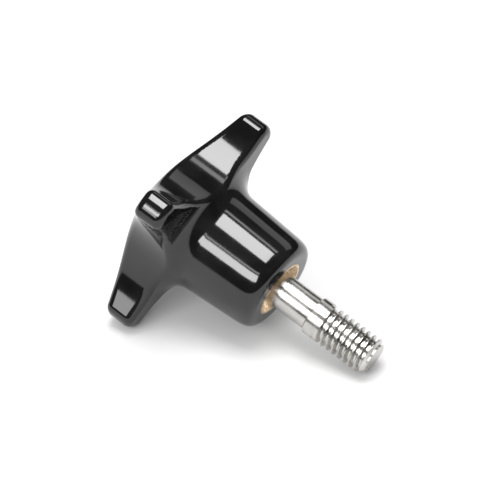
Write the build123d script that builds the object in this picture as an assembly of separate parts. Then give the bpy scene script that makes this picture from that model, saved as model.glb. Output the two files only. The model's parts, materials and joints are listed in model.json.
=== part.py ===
from build123d import *
import math
import os

# Four-lobe clamping knob with a fixed 3/8-16 UNC stud: a moulded handle, a knurled brass insert and a
# steel stud. Millimetres. The pieces are drawn in a local frame whose Z runs along the stud's axis towards
# its tip, with Z = 0 at the hub's end face. They are then laid down together, the way the knob rests on a
# table: on two lobe tips and the tip of its stud, with the stud pointing along +X and downwards.

# --- driving dimensions: moulded handle ---
SPAN_RADIUS = 28.6            # stud axis to the middle of a lobe's end
LOBE_COUNT = 4
LOBE_TIP_HALF_WIDTH = 3.5     # before the bowed end begins
LOBE_TAPER_DEG = 8.0          # each side of a lobe widens this much towards the hub
LOBE_END_RADIUS = 4.6         # a lobe's end is bowed, seen along the axis
LOBE_END_CORNER = 2.3         # and rounds into the lobe's sides
LOBE_FRONT_Z = -23.6          # front corner of a lobe's tip
LOBE_FRONT_RISE = 0.7         # the front edge comes this much nearer to the stud from tip to hub
LOBE_TIP_THICKNESS = 6.9
BACK_SWEEP_DEG = 15.0         # the lobes' back edges lean from the crown towards the stud
CROWN_RADIUS = 18.0           # the crown is a shallow dome
VALLEY_RADIUS = 23.0          # concave wall between two lobes, seen along the axis
FRONT_EDGE_ROUND = 1.9
BACK_EDGE_ROUND = 1.8
HUB_END_RADIUS = 11.7         # hub at its end face, if its edge were sharp
HUB_FACE_RADIUS = 9.2         # flat ring of the end face
HUB_EDGE_LENGTH = 4.6         # the hub's side starts to curve over this far from the end face
HUB_TAPER_DEG = 3.9           # the hub widens towards the lobes
HUB_LOBE_BLEND = 5.5          # concave flare from the hub to the front of the lobes

# --- driving dimensions: stud, 3/8-16 UNC at both ends ---
THREAD_PITCH = 25.4 / 16
THREAD_RADIUS = 4.70
COLLAR_RADIUS = 4.7625        # the plain collar has the full nominal diameter
THREAD_DEPTH = 0.6134 * THREAD_PITCH
THREAD_CREST = THREAD_PITCH / 8
THREAD_ROOT = THREAD_PITCH / 4
NECK_RADIUS = 4.12
NECK_START_Z = -3.0           # the neck begins inside the insert
COLLAR_START_Z = 10.0
COLLAR_LENGTH = 2.7
COLLAR_CHAMFER = 0.2
STUD_TIP_Z = 27.3
TIP_CHAMFER = 1.1
STUD_INNER_END_Z = -16.0
RUN_OUT_TURNS = 0.4           # the groove rises out of the steel over this much of a turn

# --- driving dimensions: knurled insert ---
INSERT_RADIUS = 7.1
INSERT_LENGTH = 20.0
KNURL_TEETH = 40
KNURL_DEPTH = 0.35
LOCK_GROOVE_CENTRES = (-6.5, -14.0)
LOCK_GROOVE_WIDTH = 2.0
LOCK_GROOVE_DEPTH = 0.9
MOUTH_RADIUS = 6.4
MOUTH_DEPTH = 1.8
MOUTH_ROOT_RADIUS = 4.95
TAP_CLEARANCE = 0.03          # radial gap between the stud's thread and the insert's
TAP_END_Z = -16.6

FULL_TURN = 360.0


def on_profile(radius, z):
    return Vector(radius, 0, z)


def hub_radius(z):
    return HUB_END_RADIUS - z * math.tan(math.radians(HUB_TAPER_DEG))


def rounded_corner(face, radius, z, fillet_radius):
    """The profile face with its corner at (radius, z) rounded."""
    corner = [v for v in face.vertices() if (Vector(*v) - on_profile(radius, z)).length < 1e-6]
    return fillet(corner, fillet_radius)


def turned(points):
    """A solid of revolution from (radius, z) points."""
    outline = Polyline(*[on_profile(*point) for point in points], close=True)
    return revolve(make_face(outline), Axis.Z)


def handle_profile():
    """Half section of the turned blank: hub, flare, lobe front, lobe back and domed crown."""
    sweep_angle = math.radians(BACK_SWEEP_DEG)
    taper = math.radians(HUB_TAPER_DEG)
    front_root_z = LOBE_FRONT_Z + LOBE_FRONT_RISE
    back_corner_z = LOBE_FRONT_Z - LOBE_TIP_THICKNESS
    margin = 2 * FRONT_EDGE_ROUND
    rim_radius = SPAN_RADIUS + margin
    rim_back_z = back_corner_z + margin * math.tan(sweep_angle)
    dome_edge_radius = CROWN_RADIUS * math.sin(sweep_angle)
    dome_edge_z = back_corner_z - (SPAN_RADIUS - dome_edge_radius) * math.tan(sweep_angle)
    dome_centre_z = dome_edge_z + CROWN_RADIUS * math.cos(sweep_angle)
    half_sweep = sweep_angle / 2
    dome_mid_z = dome_centre_z - CROWN_RADIUS * math.cos(half_sweep)
    dome_mid = on_profile(CROWN_RADIUS * math.sin(half_sweep), dome_mid_z)
    crown_top = on_profile(0, dome_centre_z - CROWN_RADIUS)
    hub_edge_start = on_profile(hub_radius(-HUB_EDGE_LENGTH), -HUB_EDGE_LENGTH)
    face_edge = on_profile(HUB_FACE_RADIUS, 0)
    along_hub = on_profile(-math.sin(taper), math.cos(taper))
    hub_edge = Spline(hub_edge_start, face_edge, tangents=(along_hub, on_profile(-1, 0)))
    corners = [
        (hub_radius(front_root_z), front_root_z),
        (rim_radius, LOBE_FRONT_Z),
        (rim_radius, rim_back_z),
        (dome_edge_radius, dome_edge_z),
    ]
    sides = Polyline(hub_edge_start, *[on_profile(*corner) for corner in corners])
    dome = ThreePointArc(on_profile(dome_edge_radius, dome_edge_z), dome_mid, crown_top)
    closing = Polyline(crown_top, on_profile(0, 0), face_edge)
    lines = [*sides.edges(), *dome.edges(), *closing.edges(), *hub_edge.edges()]
    return rounded_corner(make_face(lines), hub_radius(front_root_z), front_root_z, HUB_LOBE_BLEND)


def lobe_outline():
    """One lobe seen along the axis: sides that widen towards the hub, and a bowed end."""
    side_end = SPAN_RADIUS - LOBE_END_RADIUS + math.sqrt(LOBE_END_RADIUS**2 - LOBE_TIP_HALF_WIDTH**2)
    root_half_width = LOBE_TIP_HALF_WIDTH + side_end * math.tan(math.radians(LOBE_TAPER_DEG))
    end_corner = Vector(side_end, LOBE_TIP_HALF_WIDTH)
    far_corner = Vector(side_end, -LOBE_TIP_HALF_WIDTH)
    sides = Polyline(far_corner, (0, -root_half_width), (0, root_half_width), end_corner)
    bowed_end = ThreePointArc(end_corner, (SPAN_RADIUS, 0), far_corner)
    face = make_face([*sides.edges(), *bowed_end.edges()])
    return fillet(face.vertices().sort_by(Axis.X)[-2:], LOBE_END_CORNER)


def lobe_plan():
    """All the lobes seen along the axis: a cross whose arms run into each other in concave curves."""
    lobe = lobe_outline()
    plan = Sketch()
    for k in range(LOBE_COUNT):
        plan += Rot(0, 0, FULL_TURN * (k + 0.5) / LOBE_COUNT) * lobe
    inner_corners = plan.vertices().sort_by(lambda v: math.hypot(v.X, v.Y))[:LOBE_COUNT]
    return fillet(inner_corners, VALLEY_RADIUS)


def outline_edges(solid, outline):
    """The edges between the lobes' upright walls and their front, and those at their back."""
    front = []
    back = []
    for edge in solid.edges():
        middle = edge.position_at(0.5)
        start = edge.position_at(0)
        end = edge.position_at(1)
        on_outline = outline.distance_to(Vertex(middle.X, middle.Y, 0)) < 1e-3
        upright = math.hypot(start.X - end.X, start.Y - end.Y) < 1e-3
        if on_outline and not upright:
            at_front = middle.Z > LOBE_FRONT_Z - LOBE_TIP_THICKNESS / 2
            (front if at_front else back).append(edge)
    return front, back


def moulding():
    """The handle's outside: the turned blank cut to the lobes' plan, with its edges rounded."""
    plan = lobe_plan()
    height = SPAN_RADIUS * 2
    solid = revolve(handle_profile(), Axis.Z) & extrude(Pos(0, 0, -height) * plan, height + 1)
    outline = plan.faces()[0].outer_wire()
    solid = fillet(outline_edges(solid, outline)[0], FRONT_EDGE_ROUND)
    return fillet(outline_edges(solid, outline)[1], BACK_EDGE_ROUND)


def insert_blank():
    """The insert's outside: a straight knurl with two plain grooves that the moulding grips."""
    teeth = []
    for k in range(2 * KNURL_TEETH):
        angle = math.pi * k / KNURL_TEETH
        radius = INSERT_RADIUS - KNURL_DEPTH * (k % 2)
        teeth.append((radius * math.cos(angle), radius * math.sin(angle)))
    section = make_face(Polyline(*teeth, close=True))
    blank = extrude(Pos(0, 0, -INSERT_LENGTH) * section, INSERT_LENGTH)
    for centre in LOCK_GROOVE_CENTRES:
        low = centre - LOCK_GROOVE_WIDTH / 2
        high = centre + LOCK_GROOVE_WIDTH / 2
        floor_radius = INSERT_RADIUS - LOCK_GROOVE_DEPTH
        outside = INSERT_RADIUS + LOCK_GROOVE_DEPTH
        blank -= turned([(floor_radius, low), (outside, low), (outside, high), (floor_radius, high)])
    return blank


def thread_profile(radius, z):
    """The groove between two thread flanks, at a crest radius and a height on the XZ plane."""
    flank = (THREAD_PITCH - THREAD_CREST - THREAD_ROOT) / 2 / THREAD_DEPTH
    overshoot = THREAD_DEPTH / 8
    half_mouth = (THREAD_PITCH - THREAD_CREST) / 2 + overshoot * flank
    floor_radius = radius - THREAD_DEPTH
    corners = [
        (floor_radius, z - THREAD_ROOT / 2),
        (radius + overshoot, z - half_mouth),
        (radius + overshoot, z + half_mouth),
        (floor_radius, z + THREAD_ROOT / 2),
    ]
    return make_face(Polyline(*[on_profile(*corner) for corner in corners], close=True))


def thread_groove(start_z, turns):
    """Right-hand helical cutters at full depth, one for each turn."""
    path = Helix(THREAD_PITCH, THREAD_PITCH, THREAD_RADIUS, center=(0, 0, start_z))
    turn = sweep(thread_profile(THREAD_RADIUS, start_z), path=path, is_frenet=True)
    return [Pos(0, 0, k * THREAD_PITCH) * turn for k in range(turns)]


def run_out(start_z):
    """The end of the groove beside the collar, where it climbs out of the steel."""
    height = RUN_OUT_TURNS * THREAD_PITCH
    climb = THREAD_DEPTH * 1.2
    cone_angle = math.degrees(math.atan2(climb, height))
    low_z = start_z - height
    path = Helix(
        THREAD_PITCH, height, THREAD_RADIUS + climb, center=(0, 0, low_z), cone_angle=-cone_angle
    )
    groove = sweep(thread_profile(THREAD_RADIUS + climb, low_z), path=path, is_frenet=True)
    return Rot(0, 0, -FULL_TURN * RUN_OUT_TURNS) * groove


def stud():
    """The double-ended stud: inner thread, reduced neck, plain collar and outer thread."""
    radius = THREAD_RADIUS
    tip_radius = radius - TIP_CHAMFER
    neck_in = radius - NECK_RADIUS
    blank = turned(
        [
            (0, STUD_INNER_END_Z),
            (tip_radius, STUD_INNER_END_Z),
            (radius, STUD_INNER_END_Z + TIP_CHAMFER),
            (radius, NECK_START_Z - neck_in),
            (NECK_RADIUS, NECK_START_Z),
            (NECK_RADIUS, COLLAR_START_Z),
            (COLLAR_RADIUS - COLLAR_CHAMFER, COLLAR_START_Z),
            (COLLAR_RADIUS, COLLAR_START_Z + COLLAR_CHAMFER),
            (COLLAR_RADIUS, COLLAR_START_Z + COLLAR_LENGTH),
            (radius, COLLAR_START_Z + COLLAR_LENGTH + COLLAR_RADIUS - radius),
            (radius, STUD_TIP_Z - TIP_CHAMFER),
            (tip_radius, STUD_TIP_Z),
            (0, STUD_TIP_Z),
        ]
    )
    outer_start = COLLAR_START_Z + COLLAR_LENGTH + THREAD_PITCH / 2
    outer_turns = math.ceil((STUD_TIP_Z - outer_start) / THREAD_PITCH) + 1
    inner_start = STUD_INNER_END_Z - THREAD_PITCH / 2
    inner_turns = math.ceil((NECK_START_Z - inner_start) / THREAD_PITCH)
    cutters = thread_groove(outer_start, outer_turns) + thread_groove(inner_start, inner_turns)
    cutters.append(run_out(outer_start))
    for cutter in cutters:
        blank -= cutter
    return blank


def insert():
    """The brass insert: countersunk mouth, and a blind bore that the stud's inner end fills."""
    bore = turned(
        [
            (0, 0),
            (MOUTH_RADIUS, 0),
            (MOUTH_ROOT_RADIUS, -MOUTH_DEPTH),
            (THREAD_RADIUS + TAP_CLEARANCE, -MOUTH_DEPTH),
            (THREAD_RADIUS + TAP_CLEARANCE, TAP_END_Z),
            (0, TAP_END_Z),
        ]
    )
    return insert_blank() - bore


def handle():
    """The moulded handle, with the insert's shape left in it as a blind socket."""
    return moulding() - insert_blank()


def lying(tilt):
    """Turns the local frame to the resting one: the stud's axis points along +X, tilted downwards."""
    return Rot(0, 90 + tilt, 0)


def lowest(shape, tilt):
    return (lying(tilt) * shape).bounding_box().min.Z


def resting_tilt(body, rod):
    """The tilt at which the lobe tips and the stud's tip touch the table together."""
    low = 0.0
    high = 45.0
    for _ in range(18):
        middle = (low + high) / 2
        if lowest(body, middle) < lowest(rod, middle):
            low = middle
        else:
            high = middle
    return (low + high) / 2


def stud_envelope():
    """The stud's outline without its thread, for finding where it touches the table."""
    corners = [
        (0, 0),
        (THREAD_RADIUS, 0),
        (THREAD_RADIUS, STUD_TIP_Z - TIP_CHAMFER),
        (THREAD_RADIUS - TIP_CHAMFER, STUD_TIP_Z),
        (0, STUD_TIP_Z),
    ]
    return turned(corners)


def main():
    body = handle()
    pieces = {"handle": body, "threaded_insert": insert(), "threaded_stud": stud()}
    envelope = stud_envelope()
    tilt = resting_tilt(body, envelope)
    turn = lying(tilt)
    extent = (turn * (body + envelope)).bounding_box()
    centre = extent.center()
    shift = Pos(-centre.X, -centre.Y, -extent.min.Z)
    print("tilt of the stud's axis, degrees:", round(tilt, 4))
    print("hub face centre:", [round(x, 4) for x in (shift * turn).position])
    os.makedirs("parts", exist_ok=True)
    for name, piece in pieces.items():
        export_step(shift * turn * piece, f"parts/{name}.step")


main()
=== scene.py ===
import json
import math

import bpy
from mathutils import Matrix, Vector

# The looks of a black four-lobe clamping knob with a brass insert and a polished steel stud, lying on two of
# its lobe tips and the tip of its stud. Metres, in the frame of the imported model.

MM = 0.001

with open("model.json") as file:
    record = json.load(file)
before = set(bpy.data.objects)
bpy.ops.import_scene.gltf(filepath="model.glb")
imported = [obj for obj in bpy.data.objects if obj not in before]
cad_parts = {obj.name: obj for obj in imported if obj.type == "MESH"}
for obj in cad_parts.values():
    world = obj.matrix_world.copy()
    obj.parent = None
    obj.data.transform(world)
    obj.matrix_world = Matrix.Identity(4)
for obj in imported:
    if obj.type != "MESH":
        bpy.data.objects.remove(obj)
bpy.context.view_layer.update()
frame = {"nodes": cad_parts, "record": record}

# --- the knob's own axis, read from its mounts ---
mounts = {m["name"]: m for m in frame["record"]["mounts"]}
AXIS = Vector(mounts["stud_thread"]["axis"]).normalized()
THREAD_POINT = Vector(mounts["stud_thread"]["pos_m"])
FACE_POINT = Vector(mounts["clamp_face"]["pos_m"])
HUB_FACE = THREAD_POINT + AXIS * (FACE_POINT - THREAD_POINT).dot(AXIS)

# --- camera ---
CAMERA_AZIMUTH = 38.155
CAMERA_ELEVATION = 38.742
CAMERA_ROLL = -2.454
CAMERA_DISTANCE = 572.1 * MM
AIM_RIGHT = -6.883 * MM
AIM_UP = 8.957 * MM
LENS = 180.0
SENSOR = 36.0


def camera_axes():
    """Right, up and back vectors of the camera."""
    azimuth = math.radians(CAMERA_AZIMUTH)
    elevation = math.radians(CAMERA_ELEVATION)
    roll = math.radians(CAMERA_ROLL)
    back = Vector(
        (
            math.sin(azimuth) * math.cos(elevation),
            -math.cos(azimuth) * math.cos(elevation),
            math.sin(elevation),
        )
    )
    level_right = Vector((math.cos(azimuth), math.sin(azimuth), 0))
    level_up = back.cross(level_right)
    right = math.cos(roll) * level_right + math.sin(roll) * level_up
    up = math.cos(roll) * level_up - math.sin(roll) * level_right
    return right, up, back


def make_camera():
    right, up, back = camera_axes()
    aim = HUB_FACE + right * AIM_RIGHT + up * AIM_UP
    data = bpy.data.cameras.new("camera")
    data.lens = LENS
    data.sensor_width = SENSOR
    data.clip_start = 0.01
    data.clip_end = 20.0
    camera = bpy.data.objects.new("camera", data)
    rotation = Matrix((right, up, back)).transposed().to_4x4()
    camera.matrix_world = Matrix.Translation(aim + back * CAMERA_DISTANCE) @ rotation
    bpy.context.scene.collection.objects.link(camera)
    bpy.context.scene.camera = camera


# --- stage and light ---
FLOOR_HALF = 3.0
FLOOR_ALBEDO = 0.42
ROOM_LIGHT = 1.6              # what the dull surfaces receive from all round
ROOM_IN_REFLECTIONS = 0.012   # what the glossy surfaces show between the lamps
LAMP_DISTANCE = 0.6
FAR_LAMP_DISTANCE = 0.8
LAMP_AIM_HEIGHT = 20 * MM

# --- the middle of a noise texture's range, where nearly all of its values fall ---
NOISE_LOW = 0.35
NOISE_HIGH = 0.65


def new_material(name):
    material = bpy.data.materials.new(name)
    material.use_nodes = True
    tree = material.node_tree
    shader = tree.nodes["Principled BSDF"]
    return material, tree, shader


def link(tree, source, output, target, socket):
    tree.links.new(source.outputs[output], target.inputs[socket])


def make_floor():
    half = FLOOR_HALF
    mesh = bpy.data.meshes.new("floor")
    corners = [(-half, -half, 0), (half, -half, 0), (half, half, 0), (-half, half, 0)]
    mesh.from_pydata(corners, [], [(0, 1, 2, 3)])
    floor = bpy.data.objects.new("floor", mesh)
    bpy.context.scene.collection.objects.link(floor)
    material, _, shader = new_material("pale_floor")
    shader.inputs["Base Color"].default_value = (FLOOR_ALBEDO, FLOOR_ALBEDO, FLOOR_ALBEDO, 1)
    shader.inputs["Roughness"].default_value = 0.9
    shader.inputs["Specular IOR Level"].default_value = 0.0
    mesh.materials.append(material)


def make_world():
    """Pale all round, but dark in reflections, like a studio whose lamps hang before black cloth."""
    world = bpy.data.worlds.new("world")
    world.use_nodes = True
    tree = world.node_tree
    tree.nodes.clear()
    out = tree.nodes.new("ShaderNodeOutputWorld")
    mix = tree.nodes.new("ShaderNodeMixShader")
    path = tree.nodes.new("ShaderNodeLightPath")
    dark = tree.nodes.new("ShaderNodeBackground")
    pale = tree.nodes.new("ShaderNodeBackground")
    dark.inputs["Color"].default_value = (1, 1, 1, 1)
    dark.inputs["Strength"].default_value = ROOM_IN_REFLECTIONS
    pale.inputs["Color"].default_value = (1, 1, 1, 1)
    pale.inputs["Strength"].default_value = ROOM_LIGHT
    link(tree, path, "Is Glossy Ray", mix, 0)
    tree.links.new(pale.outputs[0], mix.inputs[1])
    tree.links.new(dark.outputs[0], mix.inputs[2])
    tree.links.new(mix.outputs[0], out.inputs[0])
    bpy.context.scene.world = world


def panel(name, centre, across, along, width, length, radiance):
    """A rectangular lamp whose sides run across and along, shining away from its back."""
    lamp = bpy.data.lights.new(name, "AREA")
    lamp.shape = "RECTANGLE"
    lamp.size = width
    lamp.size_y = length
    lamp.energy = radiance * math.pi * width * length
    lamp.color = (1, 1, 1)
    back = across.cross(along).normalized()
    along = back.cross(across).normalized()
    obj = bpy.data.objects.new(name, lamp)
    obj.matrix_world = Matrix.Translation(centre) @ Matrix((across, along, back)).transposed().to_4x4()
    obj.visible_camera = False
    bpy.context.scene.collection.objects.link(obj)


def strip(name, lowest, highest, distance, half_length, radiance, shift=0.0):
    """A lamp along X, seen from the knob between two angles in the YZ plane, from -Y (0) over +Z (90)."""
    low = math.radians(lowest)
    high = math.radians(highest)
    middle = (low + high) / 2
    towards = Vector((0, -math.cos(middle), math.sin(middle)))
    across = Vector((0, math.sin(middle), math.cos(middle)))
    width = 2 * distance * math.tan((high - low) / 2)
    centre = Vector((shift, 0, LAMP_AIM_HEIGHT)) + towards * distance
    along = towards.cross(across)
    panel(name, centre, across, along, width, 2 * half_length, radiance)


def make_lights():
    """Two long strips with a dim line beside each, a weak strip behind and a small one in front."""
    strip("overhead", 77, 106, LAMP_DISTANCE, 0.16, 14, shift=0.01)
    strip("overhead_edge", 111.5, 116.3, LAMP_DISTANCE, 0.16, 4, shift=0.01)
    strip("front", 27, 43, LAMP_DISTANCE, 0.17, 13)
    strip("front_edge", 46, 49.5, LAMP_DISTANCE, 0.17, 5)
    strip("side", 17, 26, LAMP_DISTANCE, 0.06, 6, shift=-0.13)
    strip("far", 137, 155, FAR_LAMP_DISTANCE, 0.3, 1.0)


def axis_coordinates(tree):
    """Coordinates in metres with their origin at the hub's face and Z along the stud."""
    coordinates = tree.nodes.new("ShaderNodeTexCoord")
    mapping = tree.nodes.new("ShaderNodeMapping")
    mapping.vector_type = "TEXTURE"
    mapping.inputs["Location"].default_value = HUB_FACE
    mapping.inputs["Rotation"].default_value = AXIS.to_track_quat("Z", "Y").to_euler()
    link(tree, coordinates, "Object", mapping, "Vector")
    return mapping


def noise(tree, coordinates, size, detail=2.0):
    """A noise texture whose features measure about size along each of the three axes."""
    mapping = tree.nodes.new("ShaderNodeMapping")
    mapping.inputs["Scale"].default_value = [1 / length for length in size]
    texture = tree.nodes.new("ShaderNodeTexNoise")
    texture.inputs["Scale"].default_value = 1.0
    texture.inputs["Detail"].default_value = detail
    link(tree, coordinates, "Vector", mapping, "Vector")
    link(tree, mapping, "Vector", texture, "Vector")
    return texture


def vary(tree, texture, shader, socket, low, high):
    """Drives a number on the shader between low and high with a noise texture."""
    spread = tree.nodes.new("ShaderNodeMapRange")
    spread.inputs["From Min"].default_value = NOISE_LOW
    spread.inputs["From Max"].default_value = NOISE_HIGH
    spread.inputs["To Min"].default_value = low
    spread.inputs["To Max"].default_value = high
    link(tree, texture, "Fac", spread, "Value")
    link(tree, spread, "Result", shader, socket)


def tint(tree, texture, shader, dark, pale):
    """Drives the shader's colour between two colours with a noise texture."""
    ramp = tree.nodes.new("ShaderNodeValToRGB")
    ramp.color_ramp.elements[0].position = NOISE_LOW
    ramp.color_ramp.elements[0].color = (*dark, 1)
    ramp.color_ramp.elements[1].position = NOISE_HIGH
    ramp.color_ramp.elements[1].color = (*pale, 1)
    link(tree, texture, "Fac", ramp, "Fac")
    link(tree, ramp, "Color", shader, "Base Color")


def relief(tree, shader, layers):
    """Adds bump layers, each a noise texture and its height in metres."""
    previous = None
    for texture, height in layers:
        bump = tree.nodes.new("ShaderNodeBump")
        bump.inputs["Distance"].default_value = height
        link(tree, texture, "Fac", bump, "Height")
        if previous:
            link(tree, previous, "Normal", bump, "Normal")
        previous = bump
    link(tree, previous, "Normal", shader, "Normal")


def handle_plastic():
    """Glossy black moulding: a slightly uneven skin, hazy patches and fine rubbed marks."""
    material, tree, shader = new_material("handle_plastic")
    shader.inputs["IOR"].default_value = 1.55
    local = axis_coordinates(tree)
    skin = noise(tree, local, (4.0 * MM, 4.0 * MM, 4.0 * MM), 1.0)
    haze = noise(tree, local, (6.0 * MM, 6.0 * MM, 9.0 * MM), 4.0)
    rubbed = noise(tree, local, (0.25 * MM, 2.5 * MM, 2.5 * MM), 3.0)
    tint(tree, haze, shader, (0.003, 0.003, 0.0032), (0.006, 0.006, 0.0062))
    vary(tree, haze, shader, "Roughness", 0.08, 0.115)
    relief(tree, shader, [(skin, 0.012 * MM), (rubbed, 0.0004 * MM)])
    return material


def insert_brass():
    """Turned brass, a little tarnished, with tool marks around the axis."""
    material, tree, shader = new_material("insert_brass")
    shader.inputs["Metallic"].default_value = 1.0
    local = axis_coordinates(tree)
    tarnish = noise(tree, local, (1.6 * MM, 1.6 * MM, 1.6 * MM), 4.0)
    streaks = noise(tree, local, (0.35 * MM, 0.35 * MM, 3.0 * MM), 3.0)
    turned = noise(tree, local, (6.0 * MM, 6.0 * MM, 0.12 * MM), 2.0)
    tint(tree, tarnish, shader, (0.55, 0.37, 0.21), (0.9, 0.68, 0.45))
    vary(tree, streaks, shader, "Roughness", 0.22, 0.42)
    relief(tree, shader, [(streaks, 0.02 * MM), (turned, 0.01 * MM)])
    return material


def stud_steel():
    """Bright turned steel with fine tool marks around the bar and faint finger haze."""
    material, tree, shader = new_material("stud_steel")
    shader.inputs["Metallic"].default_value = 1.0
    local = axis_coordinates(tree)
    haze = noise(tree, local, (2.5 * MM, 2.5 * MM, 4.0 * MM), 4.0)
    turned = noise(tree, local, (12.0 * MM, 12.0 * MM, 0.08 * MM), 2.0)
    tint(tree, haze, shader, (0.46, 0.45, 0.43), (0.60, 0.585, 0.56))
    vary(tree, haze, shader, "Roughness", 0.2, 0.28)
    relief(tree, shader, [(turned, 0.0012 * MM)])
    return material


def paint(node, material):
    """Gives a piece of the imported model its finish."""
    mesh = frame["nodes"][node].data
    mesh.materials.clear()
    mesh.materials.append(material)


def set_colour():
    """Shows colours as they are, without a film look."""
    scene = bpy.context.scene
    scene.view_settings.view_transform = "Standard"
    scene.view_settings.look = "None"
    scene.cycles.use_denoising = True


make_camera()
make_floor()
make_world()
make_lights()
paint("handle", handle_plastic())
paint("threaded_insert", insert_brass())
paint("threaded_stud", stud_steel())
set_colour()
